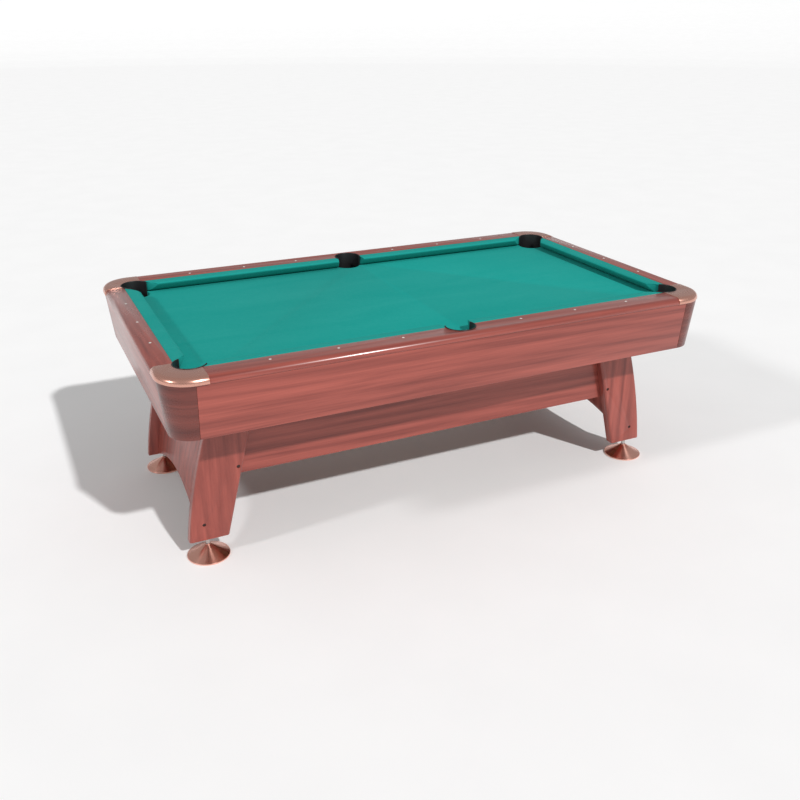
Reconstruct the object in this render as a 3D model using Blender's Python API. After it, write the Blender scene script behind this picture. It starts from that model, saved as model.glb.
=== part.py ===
"""Seven-foot pool table: cushioned bed with six drop pockets on a laminated base with screw levellers.

Frame: metres, +Z up, +X along the table, origin on the floor under the table's centre.
"Near" is the -Y side, "far" the +Y side, "left" the -X end and "right" the +X end.
"""
import math

import bmesh
import bpy
from mathutils import Vector

# ---------------------------------------------------------------- driving dimensions
GAP = 0.0003                    # clearance between pieces that touch

PLAY_X = 0.940                  # half the playing length, nose to nose
PLAY_Y = 0.470                  # half the playing width
TABLE_X = 1.065                 # half the length over the rails
TABLE_Y = 0.613                 # half the width over the rails
RAIL_TOP = 0.779
RAIL_BOTTOM = 0.739
RAIL_LIP = 0.754                # underside of the outer lip, which covers the apron's top
RAIL_FOOT = 0.0245              # the part that stands on the bed stays this far behind the outer edge
RAIL_ROUND_TOP = 0.020          # bullnose radii on the outer edge
RAIL_ROUND_BOTTOM = 0.004

CLOTH = 0.001
BED = 0.018
BED_X = 1.036
BED_Y = 0.584
BED_RADIUS = 0.080
BED_STEPS = 5

CUSHION_DEPTH = 0.052           # nose to back
NOSE_HEIGHT = 0.036             # above the cloth
NOSE_FLAT = 0.014               # the top slopes down to the nose from here
CORNER_FACING = math.radians(38)        # turn of the end faces from the nose line, at 142 degrees to it
SIDE_FACING = math.radians(104)
CORNER_SETBACK = 0.085          # from the crossing of two nose lines to a cushion's end
SIDE_SETBACK = 0.060            # from the table's centre line to a cushion's end

CORNER_POCKET = Vector((0.944, 0.474))
SIDE_POCKET = Vector((0.0, 0.525))
POCKET_BORE = 0.052
POCKET_RIM = 0.056              # outer radius of the collar at rail height
POCKET_NECK = 0.0545            # outer radius where the pocket hangs through the bed
POCKET_TIP = 0.0525             # outer radius at the bottom of the cup
POCKET_WALL = 0.003
POCKET_TOP = 0.7812
POCKET_TAPER = 0.705            # the cup narrows below this height
POCKET_BOTTOM = 0.612
POCKET_LIP_ROUND = 0.0015
POCKET_TIP_ROUND = 0.006
POCKET_STEPS = 24
CORNER_MOUTH = math.radians(72)         # half angle of the opening in a corner collar
SIDE_MOUTH = math.radians(67)
MOUTH_REACH = 0.11              # the wedge that opens a mouth runs this far from the pocket's centre
CUT_LOW = 0.55                  # heights that upright cutters run between
CUT_HIGH = 0.85

CAP_PROUD = 0.002               # the corner caps stand proud of the rails all round
CAP_RADIUS = 0.115
CAP_START_X = 0.916             # where a cap meets the side rail
CAP_START_Y = 0.455             # where a cap meets the end rail
CAP_WALL = 0.005
CAP_SHELL = 0.010               # thickness behind the rounded outer edge
CAP_STEPS = 8
CAP_HOLLOW_STEPS = 12

APRON_BOTTOM = 0.562
APRON_TOP = RAIL_LIP - GAP
APRON_X = 1.042                 # half length and width over the apron's lower edge
APRON_Y = 0.588
APRON_FLARE = 0.0195            # how far the apron leans out towards its top
APRON_THICK = 0.016
APRON_RADIUS = 0.080
APRON_SEAM_X = 0.957            # joint between side board and corner piece
APRON_SEAM_Y = 0.503
APRON_EDGE = 0.003              # bevel along the lower outer edge
APRON_STEPS = 8

LEG_BOTTOM = 0.070
LEG_TOP = 0.6197
LEG_OUTER = 0.992               # outer edge of a leg panel at its lower end
LEG_SPLAY = 0.116               # the outer edge is a parabola over the height
LEG_BOW = 0.25
LEG_INNER = 0.847               # inner edge at the lower end, straight above it
LEG_RAKE = 0.256
LEG_FACE_Y = 0.390
LEG_THICK = 0.035
LEG_EDGE_ROUND = 0.010
LEG_STEPS = 8

END_SETBACK = 0.040             # end panel behind the leg panels' outer edges
END_THICK = 0.018
END_ARCH = 0.155                # height of the arch's crown
END_ARCH_STEPS = 12

STRETCHER_BOTTOM = 0.290
STRETCHER_THICK = 0.018
STRETCHER_END_LOW = 0.866
STRETCHER_END_HIGH = 0.793

BEAM_PLACES = {"left_end": -0.800, "left": -0.270, "right": 0.270, "right_end": 0.800}
BEAM_THICK = 0.030
BEAM_HALF = 0.574

LEVELLER = Vector((0.9256, 0.3725))
FOOT_RADIUS = 0.077
FOOT_RIM = 0.006
FOOT_TOP = 0.047
FOOT_SOCKET = 0.030
STUD_RADIUS = 0.005
STUD_TOP = 0.135
STUD_HOLE_TOP = 0.145
COLLAR_RADIUS = 0.0078
STUD_CLEARANCE = 0.0005
FOOT_STEPS = 28
STUD_STEPS = 12

BOLT_UPPER = Vector((0.796, 0.335))     # places in X and Z on a leg panel's face
BOLT_LOWER = Vector((0.9350, 0.132))
BOLT_SHANK = 0.003
BOLT_HEAD = 0.0065
BOLT_HEAD_THICK = 0.004
BOLT_SUNK = 0.0012
BOLT_EDGE = 0.0015
BOLT_RECESS = 0.0028            # radius of the drive recess
BOLT_RECESS_DEPTH = 0.002
BOLT_TIP_Y = 0.322
BOLT_STEPS = 12

SIDES = {"near": -1, "far": 1}
ENDS = {"left": -1, "right": 1}

# name: colour, roughness, metallic
MATERIALS = {
    "rail_laminate": ((0.30, 0.075, 0.055), 0.35, 0.0),
    "apron_laminate": ((0.34, 0.10, 0.08), 0.40, 0.0),
    "corner_laminate": ((0.22, 0.055, 0.04), 0.35, 0.0),
    "leg_laminate": ((0.30, 0.09, 0.075), 0.40, 0.0),
    "fibreboard": ((0.42, 0.30, 0.20), 0.80, 0.0),
    "bed_cloth": ((0.01, 0.33, 0.28), 0.95, 0.0),
    "cushion_cloth": ((0.008, 0.27, 0.23), 0.95, 0.0),
    "copper_plastic": ((0.62, 0.27, 0.17), 0.28, 0.8),
    "copper_plate": ((0.66, 0.29, 0.18), 0.22, 1.0),
    "pocket_black": ((0.012, 0.012, 0.013), 0.45, 0.0),
    "zinc_steel": ((0.55, 0.55, 0.56), 0.35, 1.0),
    "black_steel": ((0.03, 0.025, 0.025), 0.40, 1.0),
}


# ---------------------------------------------------------------- tools
def clear_scene():
    for obj in list(bpy.data.objects):
        bpy.data.objects.remove(obj, do_unlink=True)


def material(name):
    """Return the named finish, made on first use."""
    found = bpy.data.materials.get(name)
    if found:
        return found
    colour, roughness, metallic = MATERIALS[name]
    made = bpy.data.materials.new(name)
    made.use_nodes = True
    shader = made.node_tree.nodes["Principled BSDF"]
    shader.inputs["Base Color"].default_value = (*colour, 1.0)
    shader.inputs["Roughness"].default_value = roughness
    shader.inputs["Metallic"].default_value = metallic
    made.diffuse_color = (*colour, 1.0)
    return made


def add_object(name, bm, finish=None, location=(0, 0, 0)):
    """Turn a bmesh into a linked object with outward faces; without a finish it is a cutter."""
    bmesh.ops.remove_doubles(bm, verts=bm.verts, dist=1e-6)
    bmesh.ops.recalc_face_normals(bm, faces=bm.faces)
    mesh = bpy.data.meshes.new(name)
    bm.to_mesh(mesh)
    bm.free()
    obj = bpy.data.objects.new(name, mesh)
    obj.location = location
    bpy.context.scene.collection.objects.link(obj)
    if finish:
        mesh.materials.append(material(finish))
        mesh.shade_smooth()
        mesh.set_sharp_from_angle(angle=math.radians(32))
    else:
        obj.hide_render = True
        obj.display_type = "WIRE"
    return obj


def skin(loops):
    """Closed solid over a row of loops with equal point counts, capped at both ends."""
    bm = bmesh.new()
    rings = [[bm.verts.new(point) for point in loop] for loop in loops]
    for ring, following in zip(rings, rings[1:]):
        for i in range(len(ring)):
            j = (i + 1) % len(ring)
            bm.faces.new((ring[i], ring[j], following[j], following[i]))
    bm.faces.new(rings[0])
    bm.faces.new(rings[-1])
    return bm


def turned(profile, steps, centre=(0, 0)):
    """Solid of revolution about a vertical axis, from (radius, height) points that start and end on it."""
    bm = bmesh.new()
    verts = [bm.verts.new((radius, 0, height)) for radius, height in profile]
    edges = [bm.edges.new(pair) for pair in zip(verts, verts[1:])]
    bmesh.ops.spin(bm, geom=verts + edges, cent=(0, 0, 0), axis=(0, 0, 1),
                   angle=math.tau, steps=steps, use_merge=True)
    bmesh.ops.translate(bm, verts=bm.verts, vec=(*centre, 0))
    return bm


def rod(radius, start, end, steps):
    """Round bar between two points."""
    start, end = Vector(start), Vector(end)
    turn = Vector((0, 0, 1)).rotation_difference(end - start).to_matrix().to_4x4()
    bm = bmesh.new()
    bmesh.ops.create_cone(bm, cap_ends=True, segments=steps, radius1=radius, radius2=radius,
                          depth=(end - start).length)
    bmesh.ops.transform(bm, matrix=turn, verts=bm.verts)
    bmesh.ops.translate(bm, verts=bm.verts, vec=(start + end) / 2)
    return bm


def cut(obj, *cutters):
    for cutter in cutters:
        modifier = obj.modifiers.new("cut " + cutter.name, "BOOLEAN")
        modifier.operation = "DIFFERENCE"
        modifier.solver = "EXACT"
        modifier.object = cutter


def arc(centre, radius, start, end, steps):
    """Points on a circle from one angle to another, in degrees."""
    angles = [math.radians(start + (end - start) * i / steps) for i in range(steps + 1)]
    return [(centre[0] + radius * math.cos(a), centre[1] + radius * math.sin(a)) for a in angles]


def mirrored(point, side_x, side_y):
    return (point[0] * side_x, point[1] * side_y)


def quadrants():
    """Names and signs of the table's four corners."""
    for side, side_y in SIDES.items():
        for end, side_x in ENDS.items():
            yield f"{side}_{end}", side_x, side_y


# ---------------------------------------------------------------- pocket places and cutters
def pocket_places():
    """Name, centre and the direction of the mouth of each pocket."""
    for name, side_x, side_y in quadrants():
        centre = (CORNER_POCKET.x * side_x, CORNER_POCKET.y * side_y)
        yield name, centre, math.atan2(-side_y, -side_x), CORNER_MOUTH
    for side, side_y in SIDES.items():
        yield f"{side}_side", (0.0, SIDE_POCKET.y * side_y), math.atan2(-side_y, 0), SIDE_MOUTH


def make_pocket_cutters():
    """Upright cylinders that clear the collars, and narrower ones for the necks in the bed panel."""
    collars = {}
    necks = {}
    for name, centre, _, _ in pocket_places():
        low, high = (*centre, CUT_LOW), (*centre, CUT_HIGH)
        collars[name] = add_object(f"cutter_collar_{name}", rod(POCKET_RIM + GAP, low, high, POCKET_STEPS))
        necks[name] = add_object(f"cutter_neck_{name}", rod(POCKET_NECK + GAP, low, high, POCKET_STEPS))
    return collars, necks


# ---------------------------------------------------------------- bed
def bed_loop(height):
    """Rectangle with round corners that clear the corner pieces of the apron."""
    x = BED_X - BED_RADIUS
    y = BED_Y - BED_RADIUS
    outline = []
    for centre, start in (((x, y), 0), ((-x, y), 90), ((-x, -y), 180), ((x, -y), 270)):
        outline += arc(centre, BED_RADIUS, start, start + 90, BED_STEPS)
    return [(*point, height) for point in outline]


def make_bed(collars, necks):
    top = RAIL_BOTTOM - GAP
    cloth_low = top - CLOTH
    panel_top = cloth_low - GAP
    panel = add_object("bed_panel", skin([bed_loop(panel_top - BED), bed_loop(panel_top)]), "fibreboard")
    cut(panel, *necks.values())
    cloth = add_object("bed_cloth", skin([bed_loop(cloth_low), bed_loop(top)]), "bed_cloth")
    cut(cloth, *collars.values())
    return panel_top - BED


# ---------------------------------------------------------------- rails, caps and cushions
def rail_profile(inner, outer):
    """Section of a rail as (distance from the centre line, height), with a lip and a bullnose outside."""
    foot = outer - RAIL_FOOT
    low = arc((outer - RAIL_ROUND_BOTTOM, RAIL_LIP + RAIL_ROUND_BOTTOM), RAIL_ROUND_BOTTOM, -90, 0, 3)
    high = arc((outer - RAIL_ROUND_TOP, RAIL_TOP - RAIL_ROUND_TOP), RAIL_ROUND_TOP, 0, 90, 6)
    return [(inner, RAIL_BOTTOM), (foot, RAIL_BOTTOM), (foot, RAIL_LIP)] + low + high + [(inner, RAIL_TOP)]


def make_rails(collars):
    inner_y = PLAY_Y + CUSHION_DEPTH + GAP
    inner_x = PLAY_X + CUSHION_DEPTH + GAP
    half_x = CAP_START_X - GAP
    half_y = CAP_START_Y - GAP
    for side, side_y in SIDES.items():
        loops = [[(x, y * side_y, z) for y, z in rail_profile(inner_y, TABLE_Y)] for x in (-half_x, half_x)]
        rail = add_object(f"side_rail_{side}", skin(loops), "rail_laminate")
        cut(rail, collars[f"{side}_left"], collars[f"{side}_side"], collars[f"{side}_right"])
    for end, side_x in ENDS.items():
        loops = [[(x * side_x, y, z) for x, z in rail_profile(inner_x, TABLE_X)] for y in (-half_y, half_y)]
        rail = add_object(f"end_rail_{end}", skin(loops), "rail_laminate")
        cut(rail, collars[f"near_{end}"], collars[f"far_{end}"])


def cap_loop(inset, height, side_x, side_y):
    """Plan outline of a corner cap, its outer edge drawn in by the inset."""
    outer_x = TABLE_X + CAP_PROUD - inset
    outer_y = TABLE_Y + CAP_PROUD - inset
    centre = (TABLE_X + CAP_PROUD - CAP_RADIUS, TABLE_Y + CAP_PROUD - CAP_RADIUS)
    corner = arc(centre, CAP_RADIUS - inset, 90, 0, CAP_STEPS)
    back_x = PLAY_X + CUSHION_DEPTH + GAP
    back_y = PLAY_Y + CUSHION_DEPTH + GAP
    outline = [(CAP_START_X, back_y), (CAP_START_X, outer_y)] + corner
    outline += [(outer_x, CAP_START_Y), (back_x, CAP_START_Y), (back_x, CORNER_POCKET.y),
                (CORNER_POCKET.x, CORNER_POCKET.y), (CORNER_POCKET.x, back_y)]
    return [(*mirrored(point, side_x, side_y), height) for point in outline]


def cap_hollow(side_x, side_y):
    """Inside of a corner cap: between its outer wall and a wall round the pocket collar."""
    centre = (TABLE_X + CAP_PROUD - CAP_RADIUS, TABLE_Y + CAP_PROUD - CAP_RADIUS)
    start_x = CAP_START_X + CAP_WALL
    start_y = CAP_START_Y + CAP_WALL
    radius = POCKET_RIM + CAP_WALL
    first = math.degrees(math.asin((start_y - CORNER_POCKET.y) / radius))
    last = math.degrees(math.acos((start_x - CORNER_POCKET.x) / radius))
    outline = [(start_x, TABLE_Y + CAP_PROUD - CAP_SHELL)]
    outline += arc(centre, CAP_RADIUS - CAP_SHELL, 90, 0, CAP_STEPS)
    outline += [(TABLE_X + CAP_PROUD - CAP_SHELL, start_y)]
    outline += arc(CORNER_POCKET, radius, first, last, CAP_HOLLOW_STEPS)
    outline = [mirrored(point, side_x, side_y) for point in outline]
    return skin([[(*point, height) for point in outline] for height in (CUT_LOW, RAIL_TOP - CAP_WALL)])


def make_corner_caps(collars):
    top = RAIL_TOP + CAP_PROUD / 2
    rounding = [(RAIL_ROUND_BOTTOM - x, RAIL_LIP + RAIL_ROUND_BOTTOM + z)
                for x, z in arc((0, 0), RAIL_ROUND_BOTTOM, -90, 0, 3)]
    rounding += [(RAIL_ROUND_TOP - x, top - RAIL_ROUND_TOP + z)
                 for x, z in arc((0, 0), RAIL_ROUND_TOP, 0, 90, 6)]
    for name, side_x, side_y in quadrants():
        loops = [cap_loop(inset, height, side_x, side_y) for inset, height in rounding]
        cap = add_object(f"corner_cap_{name}", skin(loops), "copper_plastic")
        hollow = add_object(f"cutter_cap_{name}", cap_hollow(side_x, side_y))
        cut(cap, collars[name], hollow)


def cushion_profile():
    """Section of a cushion as (distance behind the nose, height)."""
    cloth_top = RAIL_BOTTOM - GAP
    nose = cloth_top + NOSE_HEIGHT
    return [(CUSHION_DEPTH, cloth_top + 0.003), (CUSHION_DEPTH, RAIL_TOP - 0.0005),
            (NOSE_FLAT, RAIL_TOP - 0.0008), (0.005, nose + 0.0028), (0.0, nose),
            (0.002, nose - 0.004), (0.024, cloth_top + 0.005)]


def cushion_end(place, facing, nose_line):
    """End section of a cushion as (along, across, height); the facing turns it towards the pocket."""
    return [(place + depth / math.tan(facing), nose_line + depth, height)
            for depth, height in cushion_profile()]


def make_cushions(collars):
    for side, side_y in SIDES.items():
        for end, side_x in ENDS.items():
            sections = (cushion_end(SIDE_SETBACK, SIDE_FACING, PLAY_Y),
                        cushion_end(PLAY_X - CORNER_SETBACK, CORNER_FACING, PLAY_Y))
            loops = [[(x * side_x, y * side_y, z) for x, y, z in section] for section in sections]
            cushion = add_object(f"cushion_{side}_{end}", skin(loops), "cushion_cloth")
            cut(cushion, collars[f"{side}_{end}"], collars[f"{side}_side"])
    for end, side_x in ENDS.items():
        section = cushion_end(PLAY_Y - CORNER_SETBACK, CORNER_FACING, PLAY_X)
        loops = [[(x * side_x, y * side_y, z) for y, x, z in section] for side_y in SIDES.values()]
        cushion = add_object(f"cushion_{end}_end", skin(loops), "cushion_cloth")
        cut(cushion, collars[f"near_{end}"], collars[f"far_{end}"])


# ---------------------------------------------------------------- pockets
def pocket_profile():
    """Cup and collar from the underside's centre, up the outside and down the inside."""
    shoulder = RAIL_BOTTOM - GAP - CLOTH
    edge = POCKET_TOP - POCKET_LIP_ROUND
    floor = POCKET_BOTTOM + POCKET_WALL
    inner_tip = POCKET_TIP - POCKET_WALL
    outside = [(0, POCKET_BOTTOM), (POCKET_TIP - POCKET_TIP_ROUND, POCKET_BOTTOM),
               (POCKET_TIP, POCKET_BOTTOM + POCKET_TIP_ROUND), (POCKET_NECK, POCKET_TAPER),
               (POCKET_NECK, shoulder), (POCKET_RIM, shoulder), (POCKET_RIM, edge),
               (POCKET_RIM - POCKET_LIP_ROUND, POCKET_TOP)]
    inside = [(POCKET_BORE + POCKET_LIP_ROUND, POCKET_TOP), (POCKET_BORE, edge), (POCKET_BORE, POCKET_TAPER),
              (inner_tip, floor + POCKET_TIP_ROUND), (inner_tip - POCKET_TIP_ROUND, floor), (0, floor)]
    return outside + inside


def mouth_outline(centre, facing, half_angle):
    """Wedge from the pocket's centre over the opening in its collar."""
    turns = (facing - half_angle, facing, facing + half_angle)
    return [centre] + [(centre[0] + MOUTH_REACH * math.cos(turn), centre[1] + MOUTH_REACH * math.sin(turn))
                       for turn in turns]


def make_pockets(bed_underside):
    for name, centre, facing, half_angle in pocket_places():
        pocket = add_object(f"pocket_{name}", turned(pocket_profile(), POCKET_STEPS, centre), "pocket_black")
        outline = mouth_outline(centre, facing, half_angle)
        loops = [[(*point, height) for point in outline] for height in (bed_underside, CUT_HIGH)]
        cut(pocket, add_object(f"cutter_mouth_{name}", skin(loops)))


# ---------------------------------------------------------------- cabinet
def apron_loops(path):
    """Sections of the leaning apron along a path of (point, outward normal) on its lower outer edge."""
    section = [(0, APRON_BOTTOM + APRON_EDGE), (0, APRON_TOP), (-APRON_THICK, APRON_TOP),
               (-APRON_THICK, APRON_BOTTOM), (-APRON_EDGE, APRON_BOTTOM)]
    loops = []
    for point, normal in path:
        loop = []
        for offset, height in section:
            out = offset + APRON_FLARE * (height - APRON_BOTTOM) / (APRON_TOP - APRON_BOTTOM)
            loop.append((point[0] + normal[0] * out, point[1] + normal[1] * out, height))
        loops.append(loop)
    return loops


def make_apron():
    half_x = APRON_SEAM_X - GAP
    half_y = APRON_SEAM_Y - GAP
    for side, side_y in SIDES.items():
        path = [((x, APRON_Y * side_y), (0, side_y)) for x in (-half_x, half_x)]
        add_object(f"side_apron_{side}", skin(apron_loops(path)), "apron_laminate")
    for end, side_x in ENDS.items():
        path = [((APRON_X * side_x, y), (side_x, 0)) for y in (-half_y, half_y)]
        add_object(f"end_apron_{end}", skin(apron_loops(path)), "apron_laminate")
    centre = (APRON_X - APRON_RADIUS, APRON_Y - APRON_RADIUS)
    bend = [((APRON_SEAM_X, APRON_Y), (0, 1))]
    for normal in arc((0, 0), 1.0, 90, 0, APRON_STEPS):
        bend.append(((centre[0] + APRON_RADIUS * normal[0], centre[1] + APRON_RADIUS * normal[1]), normal))
    bend.append(((APRON_X, APRON_SEAM_Y), (1, 0)))
    for name, side_x, side_y in quadrants():
        path = [(mirrored(point, side_x, side_y), mirrored(normal, side_x, side_y)) for point, normal in bend]
        add_object(f"apron_corner_{name}", skin(apron_loops(path)), "corner_laminate")


def make_beams(bed_underside):
    low = LEG_TOP + GAP
    high = bed_underside - GAP
    for name, place in BEAM_PLACES.items():
        loops = [[(place - BEAM_THICK / 2, y, low), (place + BEAM_THICK / 2, y, low),
                  (place + BEAM_THICK / 2, y, high), (place - BEAM_THICK / 2, y, high)]
                 for y in (-BEAM_HALF, BEAM_HALF)]
        add_object(f"cross_beam_{name}", skin(loops), "fibreboard")


# ---------------------------------------------------------------- base
def leg_outer(height):
    """X of a leg panel's outer edge at a height."""
    rise = height - LEG_BOTTOM
    return LEG_OUTER - LEG_SPLAY * rise - LEG_BOW * rise * rise


def leg_inner(height):
    return LEG_INNER - LEG_RAKE * (height - LEG_BOTTOM)


def leg_heights():
    return [LEG_BOTTOM + (LEG_TOP - LEG_BOTTOM) * i / LEG_STEPS for i in range(LEG_STEPS + 1)]


def leg_section(height, side_x, side_y):
    """Level section of a leg panel, its two edges rounded towards the outer face."""
    inner = leg_inner(height)
    outer = leg_outer(height)
    back = LEG_FACE_Y - LEG_THICK
    radius = LEG_EDGE_ROUND
    section = [(inner, back)] + arc((inner + radius, LEG_FACE_Y - radius), radius, 180, 90, 3)
    section += arc((outer - radius, LEG_FACE_Y - radius), radius, 90, 0, 3) + [(outer, back)]
    return [(*mirrored(point, side_x, side_y), height) for point in section]


def bolt_drill(name, place, side_x, side_y, head_room):
    """Clearance for a bolt; the counterbore for its head is wanted only in the leg panel."""
    x, z = place.x * side_x, place.y
    mouth = (LEG_FACE_Y + 0.01) * side_y
    if head_room:
        seat = (LEG_FACE_Y - BOLT_SUNK - BOLT_HEAD_THICK - GAP) * side_y
        return add_object(name, rod(BOLT_HEAD + GAP, (x, seat, z), (x, mouth, z), BOLT_STEPS))
    tip = (BOLT_TIP_Y - 0.002) * side_y
    return add_object(name, rod(BOLT_SHANK + GAP, (x, tip, z), (x, mouth, z), BOLT_STEPS))


def make_bolt(name, place, side_x, side_y):
    """Pan-headed bolt along Y, turned in place about its own axis."""
    head_out = LEG_FACE_Y - BOLT_SUNK
    head_in = head_out - BOLT_HEAD_THICK
    recess = head_out - BOLT_RECESS_DEPTH
    profile = [(0, BOLT_TIP_Y), (BOLT_SHANK - 0.001, BOLT_TIP_Y), (BOLT_SHANK, BOLT_TIP_Y + 0.002),
               (BOLT_SHANK, head_in), (BOLT_HEAD, head_in), (BOLT_HEAD, head_out - BOLT_EDGE),
               (BOLT_HEAD - BOLT_EDGE, head_out), (BOLT_RECESS, head_out), (BOLT_RECESS, recess), (0, recess)]
    bm = turned(profile, BOLT_STEPS)
    for vert in bm.verts:
        x, y, z = vert.co
        vert.co = (x, z * side_y, y)
    add_object(name, bm, "black_steel", location=(place.x * side_x, 0, place.y))


def end_panel_section(height, across, side_x):
    outer = leg_outer(height) - END_SETBACK
    return [(outer * side_x, across, height), ((outer - END_THICK) * side_x, across, height)]


def arch_cutter(name, side_x):
    """Everything under the arch of an end panel, as a prism along X."""
    half = LEG_FACE_Y - LEG_THICK + 0.01
    spring = LEG_BOTTOM - 0.004
    points = [(-half, 0.0), (half, 0.0)]
    for i in range(END_ARCH_STEPS + 1):
        y = half - 2 * half * i / END_ARCH_STEPS
        points.append((y, END_ARCH - (END_ARCH - spring) * (y / half) ** 2))
    return add_object(name, skin([[(x * side_x, y, z) for y, z in points] for x in (LEG_INNER, TABLE_X)]))


def make_base():
    """Leg panels, end panels, stretchers and the bolts that join them."""
    drills = {}
    for name, side_x, side_y in quadrants():
        loops = [leg_section(height, side_x, side_y) for height in leg_heights()]
        panel = add_object(f"leg_panel_{name}", skin(loops), "leg_laminate")
        for kind, place in (("upper", BOLT_UPPER), ("lower", BOLT_LOWER)):
            key = f"{kind}_{name}"
            drills[key] = bolt_drill(f"cutter_shank_{key}", place, side_x, side_y, False)
            cut(panel, drills[key], bolt_drill(f"cutter_head_{key}", place, side_x, side_y, True))
            make_bolt(f"leg_bolt_{key}", place, side_x, side_y)
        centre = (LEVELLER.x * side_x, LEVELLER.y * side_y)
        bore = rod(STUD_RADIUS + STUD_CLEARANCE, (*centre, 0.0), (*centre, STUD_HOLE_TOP), STUD_STEPS)
        cut(panel, add_object(f"cutter_stud_{name}", bore))
    half_y = LEG_FACE_Y - LEG_THICK - GAP
    for end, side_x in ENDS.items():
        loops = []
        for height in leg_heights():
            outer, inner = end_panel_section(height, half_y, side_x)
            loops.append([outer, inner, (inner[0], -half_y, height), (outer[0], -half_y, height)])
        panel = add_object(f"leg_end_panel_{end}", skin(loops), "leg_laminate")
        cut(panel, arch_cutter(f"cutter_arch_{end}", side_x),
            drills[f"lower_near_{end}"], drills[f"lower_far_{end}"])
    for side, side_y in SIDES.items():
        outline = [(-STRETCHER_END_LOW, STRETCHER_BOTTOM), (STRETCHER_END_LOW, STRETCHER_BOTTOM),
                   (STRETCHER_END_HIGH, LEG_TOP), (-STRETCHER_END_HIGH, LEG_TOP)]
        loops = [[(x, y * side_y, z) for x, z in outline] for y in (half_y - STRETCHER_THICK, half_y)]
        stretcher = add_object(f"stretcher_{side}", skin(loops), "leg_laminate")
        cut(stretcher, drills[f"upper_{side}_left"], drills[f"upper_{side}_right"])


# ---------------------------------------------------------------- levellers
def foot_profile():
    """Flat underside, rolled rim, hollow-sided cone and the socket that holds the stud's end."""
    neck = 0.0105
    cone = []
    for i in range(1, 5):
        t = i / 5
        radius = FOOT_RADIUS - 0.002 + (neck - FOOT_RADIUS + 0.002) * t
        height = FOOT_RIM + 0.001 + (FOOT_TOP - 0.003 - FOOT_RIM) * t ** 1.12
        cone.append((radius, height))
    socket = STUD_RADIUS + STUD_CLEARANCE
    return [(0, 0), (FOOT_RADIUS - 0.003, 0), (FOOT_RADIUS, 0.002), (FOOT_RADIUS, FOOT_RIM - 0.0015),
            (FOOT_RADIUS - 0.002, FOOT_RIM + 0.001)] + cone + [
            (neck, FOOT_TOP - 0.002), (neck - 0.002, FOOT_TOP), (socket, FOOT_TOP),
            (socket, FOOT_SOCKET), (0, FOOT_SOCKET)]


def stud_profile():
    """Threaded stud with a tall collar that stops it against the leg's underside."""
    collar_low = FOOT_TOP + GAP
    collar_high = LEG_BOTTOM - GAP
    return [(0, FOOT_SOCKET + GAP), (STUD_RADIUS, FOOT_SOCKET + GAP), (STUD_RADIUS, collar_low),
            (COLLAR_RADIUS, collar_low), (COLLAR_RADIUS, collar_high), (STUD_RADIUS, collar_high),
            (STUD_RADIUS, STUD_TOP - 0.001), (STUD_RADIUS - 0.001, STUD_TOP), (0, STUD_TOP)]


def make_levellers():
    for name, side_x, side_y in quadrants():
        place = (LEVELLER.x * side_x, LEVELLER.y * side_y, 0)
        add_object(f"leveller_foot_{name}", turned(foot_profile(), FOOT_STEPS), "copper_plate", location=place)
        add_object(f"leveller_stud_{name}", turned(stud_profile(), STUD_STEPS), "zinc_steel", location=place)


def main():
    clear_scene()
    collars, necks = make_pocket_cutters()
    bed_underside = make_bed(collars, necks)
    make_rails(collars)
    make_corner_caps(collars)
    make_cushions(collars)
    make_pockets(bed_underside)
    make_apron()
    make_beams(bed_underside)
    make_base()
    make_levellers()


main()
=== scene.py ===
"""Pool table: cloth bed, cushions and drop pockets on a mahogany laminate cabinet with splayed panel legs.

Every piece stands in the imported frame: metres, +X along the table, "near" is -Y and "left" is -X.
"""
import math

import bmesh
import bpy
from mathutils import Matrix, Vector


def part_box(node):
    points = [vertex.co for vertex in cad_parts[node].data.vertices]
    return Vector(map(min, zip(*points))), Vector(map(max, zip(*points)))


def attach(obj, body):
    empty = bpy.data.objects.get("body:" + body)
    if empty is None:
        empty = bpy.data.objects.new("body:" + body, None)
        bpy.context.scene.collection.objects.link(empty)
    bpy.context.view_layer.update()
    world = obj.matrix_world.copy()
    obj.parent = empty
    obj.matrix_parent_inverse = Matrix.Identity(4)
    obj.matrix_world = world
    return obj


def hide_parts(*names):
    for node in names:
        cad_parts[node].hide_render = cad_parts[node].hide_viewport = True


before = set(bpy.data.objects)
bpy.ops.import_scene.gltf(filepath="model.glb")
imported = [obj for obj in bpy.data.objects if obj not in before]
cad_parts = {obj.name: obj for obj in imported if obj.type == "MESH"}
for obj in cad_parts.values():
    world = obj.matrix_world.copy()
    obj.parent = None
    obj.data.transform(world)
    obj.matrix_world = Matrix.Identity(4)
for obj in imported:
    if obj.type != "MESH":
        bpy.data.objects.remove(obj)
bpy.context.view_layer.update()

bl_info = {
    "name": "Pool Table Pieces",
    "version": (1, 0, 0),
    "blender": (4, 5, 0),
    "location": "View3D > Sidebar > Pool Table",
    "description": "Builds the visible pieces of a pool table on its packed frame",
    "category": "Object",
}

# ---------------------------------------------------------------- sizes read from the frame
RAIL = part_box("side_rail_far")
END_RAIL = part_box("end_rail_right")
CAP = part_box("corner_cap_far_right")
CLOTH_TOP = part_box("bed_cloth")[1].z
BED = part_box("bed_panel")
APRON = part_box("side_apron_far")
END_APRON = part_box("end_apron_right")
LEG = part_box("leg_panel_far_right")
END_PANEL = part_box("leg_end_panel_right")
CUSHION_BACK_X = END_RAIL[0].x
CUSHION_BACK_Y = RAIL[0].y

QUADRANTS = {"near_left": (-1, -1), "near_right": (1, -1), "far_left": (-1, 1), "far_right": (1, 1)}
SIDES = {"near": -1, "far": 1}
ENDS = {"left": -1, "right": 1}


def middle(node):
    low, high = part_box(node)
    return (low + high) / 2


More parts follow.
